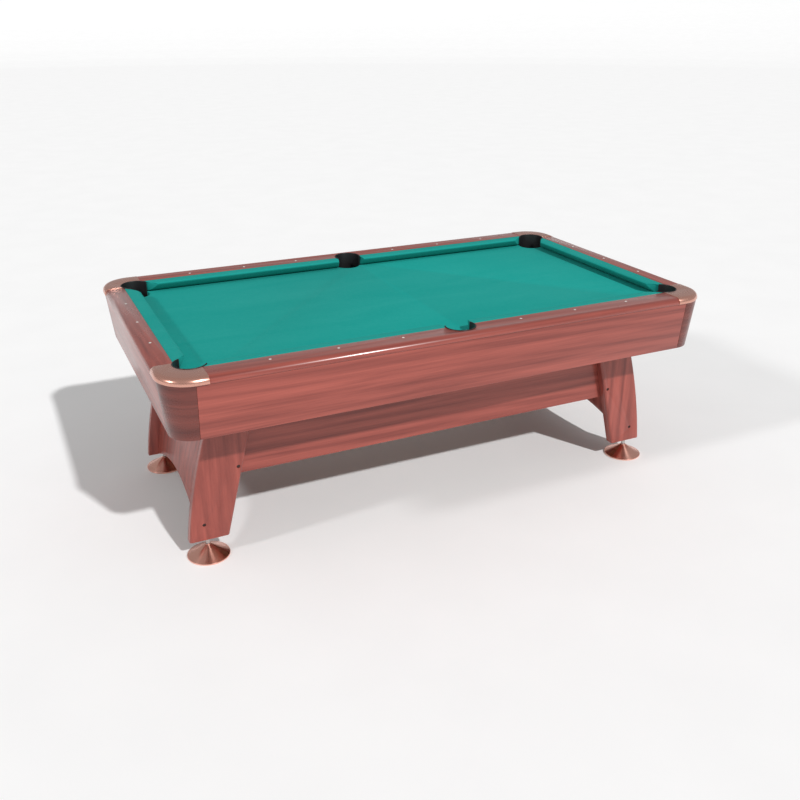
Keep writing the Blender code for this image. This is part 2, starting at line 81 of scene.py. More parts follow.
# ---------------------------------------------------------------- sizes shared by several pieces
NOSE_X = 0.940
NOSE_Y = 0.470
COLLAR_RADIUS = 0.0563
CORNER_SETBACK = 0.085
SIDE_SETBACK = 0.060
CORNER_FACING = math.radians(38)
SIDE_FACING = math.radians(104)
RAIL_LIP = 0.754
RAIL_FOOT = 0.0245
LIP_ROUND = 0.004
CAP_RADIUS = 0.115
APRON_LEAN = 0.0195
APRON_THICK = 0.016
APRON_RADIUS = 0.080
LEG_SPLAY = 0.116
LEG_BOW = 0.25
LEG_FOOT_X = 0.992
END_SETBACK = 0.040
END_THICK = 0.018
ARCH_CROWN = 0.155
LEG_INNER_X = 0.847             # inner edge of a leg panel at its lower end
BED_RADIUS = 0.080
CLOTH_THICK = 0.0009
CLOTH_ROLL = 0.0012             # radius of the cloth's turn over the bed's edge
LIP_INNER = 0.0533              # radii of the cloth that hangs in a pocket's mouth
LIP_BACK = 0.0542
RIPPLE = 0.00025                # depth of the slow waves in a cushion's face
RAIL_EASE = 0.0006
SEAM = 0.0003                   # how far the apron corners run past the boards' ends
TOOL_LOW = 0.70                 # heights that upright cutting tools reach
TOOL_HIGH = 0.85
TOUCH = 1e-5                    # places closer than this count as the same
CORNER_MOUTH = math.radians(72)
SIDE_MOUTH = math.radians(67)


def length(name, description, default, low, high):
    return bpy.props.FloatProperty(name=name, description=description, default=default, min=low, max=high,
                                   unit="LENGTH")


def colour_setting(name, description, default):
    return bpy.props.FloatVectorProperty(name=name, description=description, default=default, size=3, min=0,
                                         max=1, subtype="COLOR")


class TableSizes(bpy.types.PropertyGroup):
    """Sizes that change how the pieces look, without changing the table's own dimensions"""
    sight_radius: length("Sight radius", "Radius of the round sights in the rails", 0.0048, 0.002, 0.008)
    sight_line: length("Sight line", "How far the sights lie behind the cushion noses", 0.081, 0.055, 0.12)
    arris: length("Arris", "Width of the eased edges of the laminate boards", 0.0012, 0.0002, 0.004)
    rail_round: length("Rail round", "Radius of the bullnose on the rails and caps", 0.020, 0.004, 0.020)
    leg_round: length("Leg round", "Radius of the long edges of the leg panels", 0.010, 0.002, 0.016)
    thread_pitch: length("Thread pitch", "Distance between the crests of the threads", 0.0015, 0.001, 0.003)


class TableColours(bpy.types.PropertyGroup):
    """Colours of the table's finishes, in linear light"""
    cloth: colour_setting("Cloth", "Colour of the bed and cushion cloth", (0.003, 0.330, 0.290))
    wood_light: colour_setting("Light grain", "Light part of the laminate's grain", (0.400, 0.090, 0.066))
    wood_dark: colour_setting("Dark grain", "Dark part of the laminate's grain", (0.190, 0.036, 0.027))
    copper: colour_setting("Copper", "Colour of the corner caps and levelling feet", (0.72, 0.37, 0.29))
    pocket: colour_setting("Pocket", "Colour of the pocket liners", (0.010, 0.010, 0.011))


# ---------------------------------------------------------------- tools for shaping pieces
def put_down():
    """Leaves edit mode and deselects everything."""
    if bpy.context.mode != "OBJECT":
        bpy.ops.object.mode_set(mode="OBJECT")
    bpy.ops.object.select_all(action="DESELECT")


def take_up(obj):
    """Makes one object the only selected and active one."""
    put_down()
    obj.select_set(True)
    bpy.context.view_layer.objects.active = obj


def settle(obj):
    """Applies an object's place, turn and size to its mesh."""
    take_up(obj)
    bpy.ops.object.transform_apply(location=True, rotation=True, scale=True)


def drop(obj):
    bpy.data.objects.remove(obj, do_unlink=True)


def extrude(move):
    """Pulls the selected parts out along the world's axes."""
    bpy.ops.mesh.extrude_region_move(TRANSFORM_OT_translate={"value": move, "orient_type": "GLOBAL"})


def close_up():
    """Turns all faces of the piece in edit mode outwards and leaves edit mode."""
    bpy.ops.mesh.select_all(action="SELECT")
    bpy.ops.mesh.normals_make_consistent(inside=False)
    put_down()


def settled(name):
    """Names the primitive just added and applies its place and size."""
    obj = bpy.context.active_object
    obj.name = obj.data.name = name
    bpy.ops.object.transform_apply(location=True, rotation=True, scale=True)
    return obj


def block(name, low, high):
    """Squared block between two corners."""
    put_down()
    low, high = Vector(low), Vector(high)
    bpy.ops.mesh.primitive_cube_add(size=1, location=(low + high) / 2, scale=high - low)
    return settled(name)


def drum(name, centre, radius, low, high, steps=64):
    """Upright round bar."""
    put_down()
    bpy.ops.mesh.primitive_cylinder_add(vertices=steps, radius=radius, depth=high - low,
                                        location=(centre[0], centre[1], (low + high) / 2))
    return settled(name)


def pick(obj, kind, test):
    """Enters edit mode and selects the parts whose vertices all pass a test of their place."""
    if bpy.context.mode != "EDIT_MESH":
        take_up(obj)
        bpy.ops.object.mode_set(mode="EDIT")
    bpy.ops.mesh.select_mode(type=kind)
    bpy.ops.mesh.select_all(action="DESELECT")
    mesh = bmesh.from_edit_mesh(obj.data)
    parts = {"VERT": mesh.verts, "EDGE": mesh.edges, "FACE": mesh.faces}[kind]
    for part in parts:
        corners = [part] if kind == "VERT" else part.verts
        if all(test(corner.co) for corner in corners):
            part.select_set(True)
    bmesh.update_edit_mesh(obj.data)


def round_off(obj, width, segments, test):
    """Rounds the edges whose ends pass a test."""
    pick(obj, "EDGE", test)
    bpy.ops.mesh.bevel(offset=width, segments=segments, affect="EDGES")
    put_down()


def sheet_of(name, outline, places):
    """Flat polygon with its corners moved to their places."""
    put_down()
    bpy.ops.mesh.primitive_circle_add(vertices=len(outline), radius=0.1, fill_type="NGON")
    obj = settled(name)
    bpy.ops.object.mode_set(mode="EDIT")
    mesh = bmesh.from_edit_mesh(obj.data)
    for corner, place in zip(list(mesh.verts), places):
        corner.co = place
    bmesh.update_edit_mesh(obj.data)
    bpy.ops.mesh.select_all(action="SELECT")
    return obj


def prism(name, outline, axis, low, high):
    """Outline drawn across one axis and extruded along it."""
    spread = {"X": lambda p, at: (at, p[0], p[1]), "Y": lambda p, at: (p[0], at, p[1]),
              "Z": lambda p, at: (p[0], p[1], at)}[axis]
    way = {"X": (1, 0, 0), "Y": (0, 1, 0), "Z": (0, 0, 1)}[axis]
    obj = sheet_of(name, outline, [spread(point, low) for point in outline])
    extrude(Vector(way) * (high - low))
    close_up()
    return obj


def swept(name, section, centre, start, turn, steps):
    """Section of (radius, height) spun about an upright axis, with both ends closed."""
    places = [(centre[0] + radius * math.cos(start), centre[1] + radius * math.sin(start), height)
              for radius, height in section]
    obj = sheet_of(name, section, places)
    bpy.ops.mesh.spin(steps=steps, angle=-turn, center=(centre[0], centre[1], 0), axis=(0, 0, 1))
    bpy.ops.mesh.select_all(action="SELECT")
    bpy.ops.mesh.remove_doubles(threshold=1e-6)
    close_up()
    return obj


def turned(name, profile, centre, steps):
    """Round piece raised ring by ring: each ring of (radius, height) is extruded and scaled."""
    put_down()
    radius, height = profile[0]
    bpy.ops.mesh.primitive_circle_add(vertices=steps, radius=radius, fill_type="NGON",
                                      location=(centre[0], centre[1], height))
    obj = settled(name)
    bpy.ops.object.mode_set(mode="EDIT")
    bpy.ops.mesh.select_mode(type="FACE")
    bpy.ops.mesh.select_all(action="SELECT")
    for next_radius, next_height in profile[1:]:
        extrude((0, 0, next_height - height))
        scale = next_radius / radius
        bpy.ops.transform.resize(value=(scale, scale, 1),
                                 center_override=(centre[0], centre[1], next_height))
        radius, height = next_radius, next_height
    close_up()
    return obj


def cut_away(obj, *tools):
    """Subtracts cutting tools, one after another, and removes them."""
    for tool in tools:
        take_up(obj)
        modifier = obj.modifiers.new("cut", "BOOLEAN")
        modifier.operation = "DIFFERENCE"
        modifier.solver = "EXACT"
        modifier.object = tool
        bpy.ops.object.modifier_apply(modifier=modifier.name)
        drop(tool)
    return obj


def ease(obj, width, segments=2, angle=40):
    """Rounds every edge sharper than an angle a little."""
    take_up(obj)
    modifier = obj.modifiers.new("ease", "BEVEL")
    modifier.width = width
    modifier.segments = segments
    modifier.limit_method = "ANGLE"
    modifier.angle_limit = math.radians(angle)
    modifier.use_clamp_overlap = True
    modifier.harden_normals = False
    bpy.ops.object.modifier_apply(modifier=modifier.name)
    return obj


def copy_to(obj, name, shift=(0, 0, 0), scale=(1, 1, 1)):
    """Copy with its own mesh, moved, scaled and settled."""
    take_up(obj)
    bpy.ops.object.duplicate(linked=False)
    made = bpy.context.active_object
    made.name = made.data.name = name
    made.location = shift
    made.scale = scale
    settle(made)
    return made


def mirror_to(obj, name, side_x, side_y):
    """Mirrored copy on another side of the table, with its faces turned outwards again."""
    made = copy_to(obj, name, scale=(side_x, side_y, 1))
    bpy.ops.object.mode_set(mode="EDIT")
    close_up()
    return made


def finish(obj, look, body="root", stands_for=(), smooth=32):
    """Gives a piece its smooth shading, finish, body and the CAD nodes that it stands for."""
    take_up(obj)
    bpy.ops.object.shade_smooth_by_angle(angle=math.radians(smooth))
    obj.data.materials.clear()
    obj.data.materials.append(FINISHES[look])
    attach(obj, body)
    if stands_for:
        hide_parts(*stands_for)
    put_down()
    return obj


def at_corners(pattern, piece, look, node, smooth=32):
    """Finished copies of a pattern at the four corners of the table; the pattern itself goes."""
    for name, (side_x, side_y) in QUADRANTS.items():
        made = mirror_to(pattern, f"{piece}_{name}", side_x, side_y)
        finish(made, look, stands_for=(f"{node}_{name}",), smooth=smooth)
    drop(pattern)


def dress(node, look):
    """New finish for a CAD node whose shape stays as it is."""
    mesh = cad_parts[node].data
    mesh.materials.clear()
    mesh.materials.append(FINISHES[look])


def arc(centre, radius, start, end, steps):
    """Points on a circle between two angles in degrees."""
    angles = [math.radians(start + (end - start) * i / steps) for i in range(steps + 1)]
    return [(centre[0] + radius * math.cos(a), centre[1] + radius * math.sin(a)) for a in angles]


def pocket_places():
    """Name, centre, direction of the mouth and its half angle for each pocket."""
    for name, (side_x, side_y) in QUADRANTS.items():
        low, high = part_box(f"pocket_{name}")
        yield name, (low + high) / 2, math.atan2(-side_y, -side_x), CORNER_MOUTH
    for side, side_y in SIDES.items():
        yield f"{side}_side", middle(f"pocket_{side}_side"), math.atan2(-side_y, 0), SIDE_MOUTH


def collar_drums(*names):
    """Cutting tools that clear the pocket collars."""
    low, high = RAIL[0].z - 0.05, RAIL[1].z + 0.05
    return [drum("collar_tool", centre, COLLAR_RADIUS, low, high)
            for name, centre, _, _ in pocket_places() if name in names]


# ---------------------------------------------------------------- tools for finishes
def new_group(name, inputs, outputs):
    """Empty shader node group with named sockets."""
    group = bpy.data.node_groups.new(name, "ShaderNodeTree")
    kinds = {"value": "NodeSocketFloat", "colour": "NodeSocketColor", "vector": "NodeSocketVector"}
    for label, kind, default in inputs:
        socket = group.interface.new_socket(name=label, in_out="INPUT", socket_type=kinds[kind])
        if default is not None:
            socket.default_value = default
    for label, kind in outputs:
        group.interface.new_socket(name=label, in_out="OUTPUT", socket_type=kinds[kind])
    return group, group.nodes.new("NodeGroupInput"), group.nodes.new("NodeGroupOutput")


def feed(tree, node, sockets):
    """Links the sockets of a node, or gives them plain values."""
    for key, value in sockets.items():
        if isinstance(value, bpy.types.NodeSocket):
            tree.links.new(value, node.inputs[key])
        else:
            node.inputs[key].default_value = value


def add(tree, kind, sockets=None, **settings):
    """Node with its settings and its sockets filled in."""
    made = tree.nodes.new("ShaderNode" + kind)
    for key, value in settings.items():
        setattr(made, key, value)
    feed(tree, made, sockets or {})
    return made


def noise(tree, vector, scale, detail=4.0, roughness=0.5, distortion=0.0):
    made = add(tree, "TexNoise", {"Vector": vector, "Scale": scale, "Detail": detail,
                                  "Roughness": roughness, "Distortion": distortion})
    return made.outputs["Fac"]


def spread(tree, value, low, high, to_low=0.0, to_high=1.0):
    """Range of a value stretched and clamped to another range."""
    made = add(tree, "MapRange", {"Value": value, "From Min": low, "From Max": high,
                                  "To Min": to_low, "To Max": to_high})
    return made.outputs["Result"]


def maths(tree, operation, first, second=0.0):
    return add(tree, "Math", {0: first, 1: second}, operation=operation).outputs[0]


def times(tree, first, second):
    return maths(tree, "MULTIPLY", first, second)


def plus(tree, first, second):
    return maths(tree, "ADD", first, second)


def minus(tree, first, second):
    return maths(tree, "SUBTRACT", first, second)


def object_place(tree):
    return add(tree, "TexCoord").outputs["Object"]


def stretched(tree, place, factors):
    """Coordinates multiplied along each axis, so that noise read there is drawn out."""
    return add(tree, "VectorMath", {0: place, 1: factors}, operation="MULTIPLY").outputs[0]


def blend_colours(tree, factor, first, second, way="MIX"):
    """Mix of two colours; 6 and 7 are the Mix node's colour sockets."""
    made = add(tree, "Mix", {"Factor": factor, 6: first, 7: second}, data_type="RGBA", blend_type=way)
    return made.outputs[2]


def edge_wear_group():
    """Mask that is strongest on outer edges, broken up by noise."""
    group, entry, leave = new_group(
        "Edge wear", [("Width", "value", 0.002), ("Amount", "value", 0.5)], [("Mask", "value")])
    bevel = add(group, "Bevel", {"Radius": entry.outputs["Width"]}, samples=4)
    geometry = add(group, "NewGeometry")
    facing = add(group, "VectorMath", {0: bevel.outputs[0], 1: geometry.outputs["Normal"]},
                 operation="DOT_PRODUCT")
    edge = spread(group, facing.outputs["Value"], 0.995, 0.86)
    patches = spread(group, noise(group, object_place(group), 24.0, 5.0, 0.6), 0.42, 0.66, 0.35, 1.0)
    feed(group, leave, {"Mask": times(group, times(group, edge, patches), entry.outputs["Amount"])})
    return group


def handling_group():
    """Faint smears and dust that change the gloss, from broad patches to fine scuffs."""
    group, entry, leave = new_group(
        "Handling", [("Gloss", "value", 0.3), ("Smear", "value", 0.08)],
        [("Roughness", "value"), ("Dust", "value")])
    place = object_place(group)
    broad = noise(group, place, 5.0, 3.0, 0.55, 0.4)
    fine = noise(group, place, 160.0, 3.0, 0.7)
    both = plus(group, times(group, broad, 0.7), times(group, fine, 0.3))
    smear = times(group, minus(group, both, 0.5), entry.outputs["Smear"])
    feed(group, leave, {"Roughness": plus(group, entry.outputs["Gloss"], smear),
                        "Dust": spread(group, both, 0.52, 0.72)})
    return group


def mahogany_group():
    """Printed mahogany grain: long flowing figure, straight fine grain and short dark pores."""
    group, entry, leave = new_group(
        "Mahogany grain",
        [("Vector", "vector", None), ("Light", "colour", (0.35, 0.11, 0.08, 1)),
         ("Dark", "colour", (0.15, 0.04, 0.03, 1)), ("Figure", "value", 0.7)],
        [("Colour", "colour"), ("Height", "value")])
    place, share = entry.outputs["Vector"], entry.outputs["Figure"]
    figure = spread(group, noise(group, place, 1.0, 5.0, 0.55, 0.9), 0.34, 0.68)
    bands = add(group, "TexWave", {"Vector": place, "Scale": 0.55, "Distortion": 7.0, "Detail": 3.0,
                                   "Detail Scale": 0.7, "Detail Roughness": 0.6},
                bands_direction="DIAGONAL", wave_profile="SIN").outputs["Fac"]
    flowing = plus(group, times(group, figure, 0.62), times(group, bands, 0.38))
    fine_place = stretched(group, place, (3.0, 7.0, 7.0))
    fine = spread(group, noise(group, fine_place, 1.0, 4.0, 0.7), 0.30, 0.70)
    pore_place = stretched(group, place, (9.0, 18.0, 18.0))
    pores = spread(group, noise(group, pore_place, 1.0, 2.0, 0.5), 0.64, 0.74)
    shade = plus(group, times(group, flowing, share), times(group, fine, minus(group, 1.0, share)))
    dark = entry.outputs["Dark"]
    colour = blend_colours(group, spread(group, shade, 0.12, 0.86), dark, entry.outputs["Light"])
    feed(group, leave, {
        "Colour": blend_colours(group, times(group, pores, 0.22), colour, dark),
        "Height": minus(group, times(group, fine, 0.5), pores)})
    return group


def cloth_group():
    """Napped wool cloth: a fine twill, loose fibres and slow changes where the nap lies differently."""
    group, entry, leave = new_group(
        "Napped cloth", [("Colour", "colour", (0.01, 0.35, 0.29, 1)), ("Weave", "value", 0.5)],
        [("Colour", "colour"), ("Roughness", "value"), ("Height", "value")])
    place, weave = object_place(group), entry.outputs["Weave"]
    twill = add(group, "TexWave", {"Vector": place, "Scale": 420.0, "Distortion": 0.6, "Detail": 1.0},
                bands_direction="DIAGONAL").outputs["Fac"]
    weft = add(group, "TexWave", {"Vector": place, "Scale": 520.0, "Distortion": 0.8, "Detail": 1.0},
               bands_direction="X").outputs["Fac"]
    threads = times(group, twill, weft)
    fibre = noise(group, place, 900.0, 4.0, 0.7, 1.5)
    nap = noise(group, stretched(group, place, (1.0, 3.2, 3.2)), 2.2, 4.0, 0.55, 0.6)
    speck = noise(group, place, 75.0, 5.0, 0.75)
    tone = plus(group, times(group, nap, 0.55), times(group, speck, 0.45))
    deep = blend_colours(group, 1.0, entry.outputs["Colour"], (0.88, 0.93, 0.93, 1), "MULTIPLY")
    pale = blend_colours(group, 0.05, entry.outputs["Colour"], (0.30, 0.66, 0.60, 1))
    colour = blend_colours(group, spread(group, tone, 0.30, 0.72), deep, pale)
    thread_shade = times(group, threads, times(group, weave, 0.25))
    feed(group, leave, {
        "Colour": blend_colours(group, thread_shade, colour, (0.002, 0.12, 0.10, 1)),
        "Roughness": spread(group, fibre, 0.2, 0.8, 0.82, 0.98),
        "Height": plus(group, times(group, threads, weave), times(group, fibre, 0.6))})
    return group


def new_finish(name):
    """Material with a Principled shader whose plain values are set on its own sockets."""
    material = bpy.data.materials.new(name)
    material.use_nodes = True
    tree = material.node_tree
    tree.nodes.clear()
    shader = tree.nodes.new("ShaderNodeBsdfPrincipled")
    output = tree.nodes.new("ShaderNodeOutputMaterial")
    tree.links.new(shader.outputs[0], output.inputs["Surface"])
    return material, tree, shader


def place_group(tree, group, sockets):
    return add(tree, "Group", sockets, node_tree=group).outputs


def bump(tree, shader, height, strength, distance):
    made = add(tree, "Bump", {"Height": height, "Strength": strength, "Distance": distance})
    feed(tree, shader, {"Normal": made.outputs[0]})


def laminate(name, groups, tones, stretch, shift, gloss=0.32, wear=0.25, coat=0.2):
    """Satin printed laminate with its grain along the axis that is stretched least."""
    light, dark = tones
    material, tree, shader = new_finish(name)
    mapped = add(tree, "Mapping", {"Vector": object_place(tree), "Location": shift, "Scale": stretch})
    grain = place_group(tree, groups["mahogany"], {
        "Vector": mapped.outputs[0], "Light": (*light, 1), "Dark": (*dark, 1), "Figure": 0.7})
    handled = place_group(tree, groups["handling"], {"Gloss": gloss, "Smear": 0.16})
    worn = place_group(tree, groups["wear"], {"Width": 0.0025, "Amount": wear})
    pale = [min(1.0, value * 1.7 + 0.03) for value in light]
    feed(tree, shader, {
        "Base Color": blend_colours(tree, worn["Mask"], grain["Colour"], (*pale, 1)),
        "Roughness": handled["Roughness"], "Specular IOR Level": 0.4, "Coat Weight": coat,
        "Coat Roughness": 0.18, "Coat IOR": 1.65})
    bump(tree, shader, grain["Height"], 0.05, 0.0003)
    return material


def cloth(name, groups, colour, weave):
    """Teal cloth with a trace of sheen."""
    material, tree, shader = new_finish(name)
    woven = place_group(tree, groups["cloth"], {"Colour": (*colour, 1), "Weave": weave})
    feed(tree, shader, {
        "Base Color": woven["Colour"], "Roughness": woven["Roughness"], "Specular IOR Level": 0.15,
        "Sheen Weight": 0.03, "Sheen Roughness": 0.5, "Sheen Tint": (0.4, 0.9, 0.85, 1)})
    bump(tree, shader, woven["Height"], 0.5, 0.0003)
    return material


def hard(name, groups, colour, gloss, metallic=1.0, smear=0.14, wear=0.0, coat=0.0):
    """Plated, painted or moulded finish with smears, fine scratches and rubbed edges."""
    material, tree, shader = new_finish(name)
    handled = place_group(tree, groups["handling"], {"Gloss": gloss, "Smear": smear})
    worn = place_group(tree, groups["wear"], {"Width": 0.0012, "Amount": wear})
    dull = [value * 0.78 for value in colour]
    bright = [min(1.0, value * 1.35 + 0.05) for value in colour]
    toned = blend_colours(tree, handled["Dust"], (*colour, 1), (*dull, 1))
    feed(tree, shader, {
        "Base Color": blend_colours(tree, worn["Mask"], toned, (*bright, 1)),
        "Roughness": handled["Roughness"], "Metallic": metallic, "Coat Weight": coat})
    bump(tree, shader, noise(tree, object_place(tree), 260.0, 3.0, 0.6), 0.02, 0.0002)
    return material, tree, shader


def turned_copper(name, groups, colour, centre):
    """Copper plate with the fine rings left by turning, about each foot's own axis."""
    material, tree, shader = hard(name, groups, colour, 0.24, 1.0, 0.12, 0.5)
    folded = add(tree, "VectorMath", {0: object_place(tree)}, operation="ABSOLUTE").outputs[0]
    local = add(tree, "VectorMath", {0: folded, 1: (centre[0], centre[1], 0.0)}, operation="SUBTRACT")
    flat = stretched(tree, local.outputs[0], (1.0, 1.0, 0.0))
    radius = add(tree, "VectorMath", {0: flat}, operation="LENGTH").outputs["Value"]
    ridges = maths(tree, "SINE", times(tree, radius, 5200.0))
    coarse = maths(tree, "SINE", times(tree, radius, 1450.0))
    bump(tree, shader, plus(tree, ridges, times(tree, coarse, 0.8)), 0.35, 0.00006)
    tangent = add(tree, "Tangent", direction_type="RADIAL", axis="Z")
    feed(tree, shader, {"Anisotropic": 0.8, "Anisotropic Rotation": 0.25, "Tangent": tangent.outputs[0]})
    return material


def fibreboard(name):
    """Raw board with fine chips and slow clouds of colour."""
    material, tree, shader = new_finish(name)
    place = object_place(tree)
    chips = noise(tree, place, 420.0, 5.0, 0.7)
    clouds = noise(tree, place, 7.0, 3.0, 0.5)
    tone = plus(tree, times(tree, chips, 0.6), times(tree, clouds, 0.4))
    feed(tree, shader, {
        "Base Color": blend_colours(tree, spread(tree, tone, 0.35, 0.65), (0.25, 0.15, 0.085, 1),
                                    (0.47, 0.33, 0.21, 1)),
        "Roughness": spread(tree, chips, 0.2, 0.8, 0.7, 0.95)})
    bump(tree, shader, chips, 0.4, 0.0004)
    return material


FINISHES = {}


def make_finishes(colours):
    """Builds the shared groups once and a material for each finish."""
    groups = {"mahogany": mahogany_group(), "cloth": cloth_group(), "wear": edge_wear_group(),
              "handling": handling_group()}
    light, dark = tuple(colours.wood_light), tuple(colours.wood_dark)
    plain = (light, dark)
    rail = (tuple(value * 0.92 for value in light), dark)
    # deep: the same laminate at half brightness, painted shade that stands in for the darker look of the
    # rounded apron corners under the lights
    deep = (tuple(value * 0.50 for value in light), tuple(value * 0.45 for value in dark))
    copper = tuple(colours.copper)
    bright_copper = tuple(min(0.95, value * 1.25 + 0.03) for value in copper)
    teal = tuple(colours.cloth)
    foot = middle("leveller_foot_far_right")

    def wood(name, tones, stretch, shift, **settings):
        return laminate(name, groups, tones, stretch, shift, **settings)

    FINISHES.update({
        "rail_x": wood("rail laminate along", rail, (1.1, 26, 26), (2.3, 0.4, 1.0), gloss=0.30, coat=0.35),
        "rail_y": wood("rail laminate across", rail, (26, 1.1, 26), (0.7, 3.1, 2.0), gloss=0.28, coat=0.7),
        "apron_x": wood("apron laminate along", plain, (1.0, 24, 24), (0.2, 5.0, 3.3)),
        "apron_y": wood("apron laminate across", plain, (24, 1.0, 24), (4.0, 0.6, 6.1), coat=0.4),
        # the apron corners use the half-bright laminate: painted shade, not a darker finish of their own
        "corner": wood("apron corner laminate", deep, (2.0, 2.0, 22), (1.0, 7.0, 0.3), gloss=0.28),
        "leg": wood("leg laminate", plain, (22, 22, 1.0), (6.0, 1.5, 0.8), wear=0.4),
        "end_panel": wood("end panel laminate", plain, (22, 22, 1.1), (3.0, 2.5, 4.8)),
        "stretcher": wood("stretcher laminate", plain, (1.0, 24, 24), (8.2, 1.0, 9.4), gloss=0.34),
        "bed_cloth": cloth("bed cloth", groups, teal, 0.5),
        # cushion cloth is the bed cloth at 0.95 of its colour: painted shade on the cushions; its stronger
        # weave darkens it a little more
        "cushion_cloth": cloth("cushion cloth", groups, tuple(value * 0.95 for value in teal), 0.6),
        "cap": hard("copper moulding", groups, copper, 0.27, 0.9, 0.14, 0.5, 0.25)[0],
        "foot": turned_copper("turned copper", groups, bright_copper, foot),
        "pocket": hard("pocket moulding", groups, tuple(colours.pocket), 0.42, 0.0, 0.25, 0.25)[0],
        "sight": hard("pearl sight", groups, (0.80, 0.76, 0.72), 0.22, 0.0, 0.1, 0.0, 0.5)[0],
        "zinc": hard("zinc plate", groups, (0.56, 0.55, 0.53), 0.34, 1.0, 0.2, 0.4)[0],
        "black_steel": hard("black oxide", groups, (0.075, 0.040, 0.036), 0.45, 0.6, 0.2, 0.4)[0],
        "fibreboard": fibreboard("fibreboard"),
    })


# ---------------------------------------------------------------- bed
class POOLTABLE_OT_bed(bpy.types.Operator):
    """Lay the bed panel's finish, the stretched cloth and the cloth lips in the pocket mouths"""
    bl_idname = "pooltable.bed"
    bl_label = "Bed and Cloth"
    bl_options = {"REGISTER", "UNDO"}

    def execute(self, context):
        dress("bed_panel", "fibreboard")
        for node in [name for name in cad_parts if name.startswith("cross_beam_")]:
            dress(node, "fibreboard")
        low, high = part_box("bed_cloth")
        outline = []
        for x, y, start in ((1, 1, 0), (-1, 1, 90), (-1, -1, 180), (1, -1, 270)):
            hub = (x * (high.x - BED_RADIUS), y * (high.y - BED_RADIUS))
            outline += arc(hub, BED_RADIUS, start, start + 90, 10)
        sheet = prism("stretched_bed_cloth", outline, "Z", low.z + 0.0002, high.z)
        cut_away(sheet, *collar_drums(*[name for name, *_ in pocket_places()]))
        ease(sheet, 0.0003, 2, 60)
        finish(sheet, "bed_cloth", stands_for=("bed_cloth",))
        lips = [self.lip(*place) for place in pocket_places()]
        return {"FINISHED"}

    def lip(self, name, centre, facing, half_angle):
        """Cloth turned down over the edge of the bed inside a pocket's mouth."""
        outer, low = COLLAR_RADIUS - 0.0002, BED[0].z + 0.003
        top, under = CLOTH_TOP, CLOTH_TOP - CLOTH_THICK
        roll = []
        for degrees in range(0, 91, 15):
            turn = math.radians(degrees)
            roll.append((LIP_INNER + CLOTH_ROLL - CLOTH_ROLL * math.sin(turn),
                         top - CLOTH_ROLL + CLOTH_ROLL * math.cos(turn)))
        section = [(outer, top)] + roll
        section += [(LIP_INNER, low), (LIP_BACK, low), (LIP_BACK, under), (outer, under)]
        half = half_angle - math.radians(2.0)
        lip = swept(f"cloth_lip_{name}", section, centre, facing - half, 2 * half, 36)
        return finish(lip, "bed_cloth")


# ---------------------------------------------------------------- cushions
def cushion_outline():
    """Section as (distance behind the nose, height): back, top, nose and the undercut face."""
    top, base = RAIL[1].z, CLOTH_TOP
    nose = base + 0.0345
    return [(0.0517, base + 0.0032), (0.0517, base + 0.018), (0.0517, top - 0.0012), (0.0509, top - 0.0005),
            (0.042, top - 0.0004), (0.030, top - 0.0004), (0.020, top - 0.0007), (0.0125, top - 0.0012),
            (0.0075, top - 0.0022), (0.0040, top - 0.0036), (0.0016, top - 0.0056), (0.0003, nose + 0.0012),
            (0.0002, nose - 0.0010), (0.0010, nose - 0.0032), (0.0032, nose - 0.0062),
            (0.0090, nose - 0.0130), (0.0165, nose - 0.0215), (0.0240, base + 0.0054),
            (0.0340, base + 0.0040)]


def cushion_reach(depth, setback, facing, nose, centre):
    """Where a cushion ends along the rail at a depth: its cut facing, held clear of the collar."""
    along = setback + depth / math.tan(facing)
    across = nose + depth - centre[1]
    clear = COLLAR_RADIUS + 0.0004
    if abs(across) < clear:
        limit = math.sqrt(clear ** 2 - across ** 2)
        along = min(along, centre[0] - limit) if centre[0] > setback else max(along, centre[0] + limit)
    return along


def shape_cushion(name, start, end, place):
    """Cushion lofted between two ends, drawn in at each end and gently uneven along its length."""
    outline = cushion_outline()
    hub = (sum(p[0] for p in outline) / len(outline), sum(p[1] for p in outline) / len(outline))
    steps = [0.0, 0.0008, 0.002, 0.004, 0.008, 0.016]
    draws = [0.10, 0.045, 0.018, 0.006, 0.0, 0.0]
    length = abs(end(0.0) - start(0.0))
    shares = [(s / length, d) for s, d in zip(steps, draws)]
    count = max(6, int(length / 0.03))
    inner = [(0.02 + 0.96 * i / count, 0.0) for i in range(count + 1)]
    inner = [share for share in inner if steps[-1] / length < share[0] < 1 - steps[-1] / length]
    sections = shares + inner + [(1 - s, d) for s, d in reversed(shares)]
    mesh = bmesh.new()
    loops = []
    for share, draw in sections:
        loop = []
        for depth, height in outline:
            near_depth = depth + (hub[0] - depth) * draw
            near_height = height + (hub[1] - height) * draw
            along = start(depth) + (end(depth) - start(depth)) * share
            ripple = RIPPLE * math.sin(along * 43 + height * 300) * math.sin(along * 17 + 1.3)
            loop.append(mesh.verts.new(place(along, near_depth + max(0.0, ripple), near_height)))
        loops.append(loop)
    for first, second in zip(loops, loops[1:]):
        for i in range(len(outline)):
            j = (i + 1) % len(outline)
            mesh.faces.new((first[i], first[j], second[j], second[i]))
    mesh.faces.new(loops[0])
    mesh.faces.new(loops[-1])
    bmesh.ops.recalc_face_normals(mesh, faces=mesh.faces[:])
    data = bpy.data.meshes.new(name)
    mesh.to_mesh(data)
    mesh.free()
    obj = bpy.data.objects.new(name, data)
    bpy.context.scene.collection.objects.link(obj)
    return obj


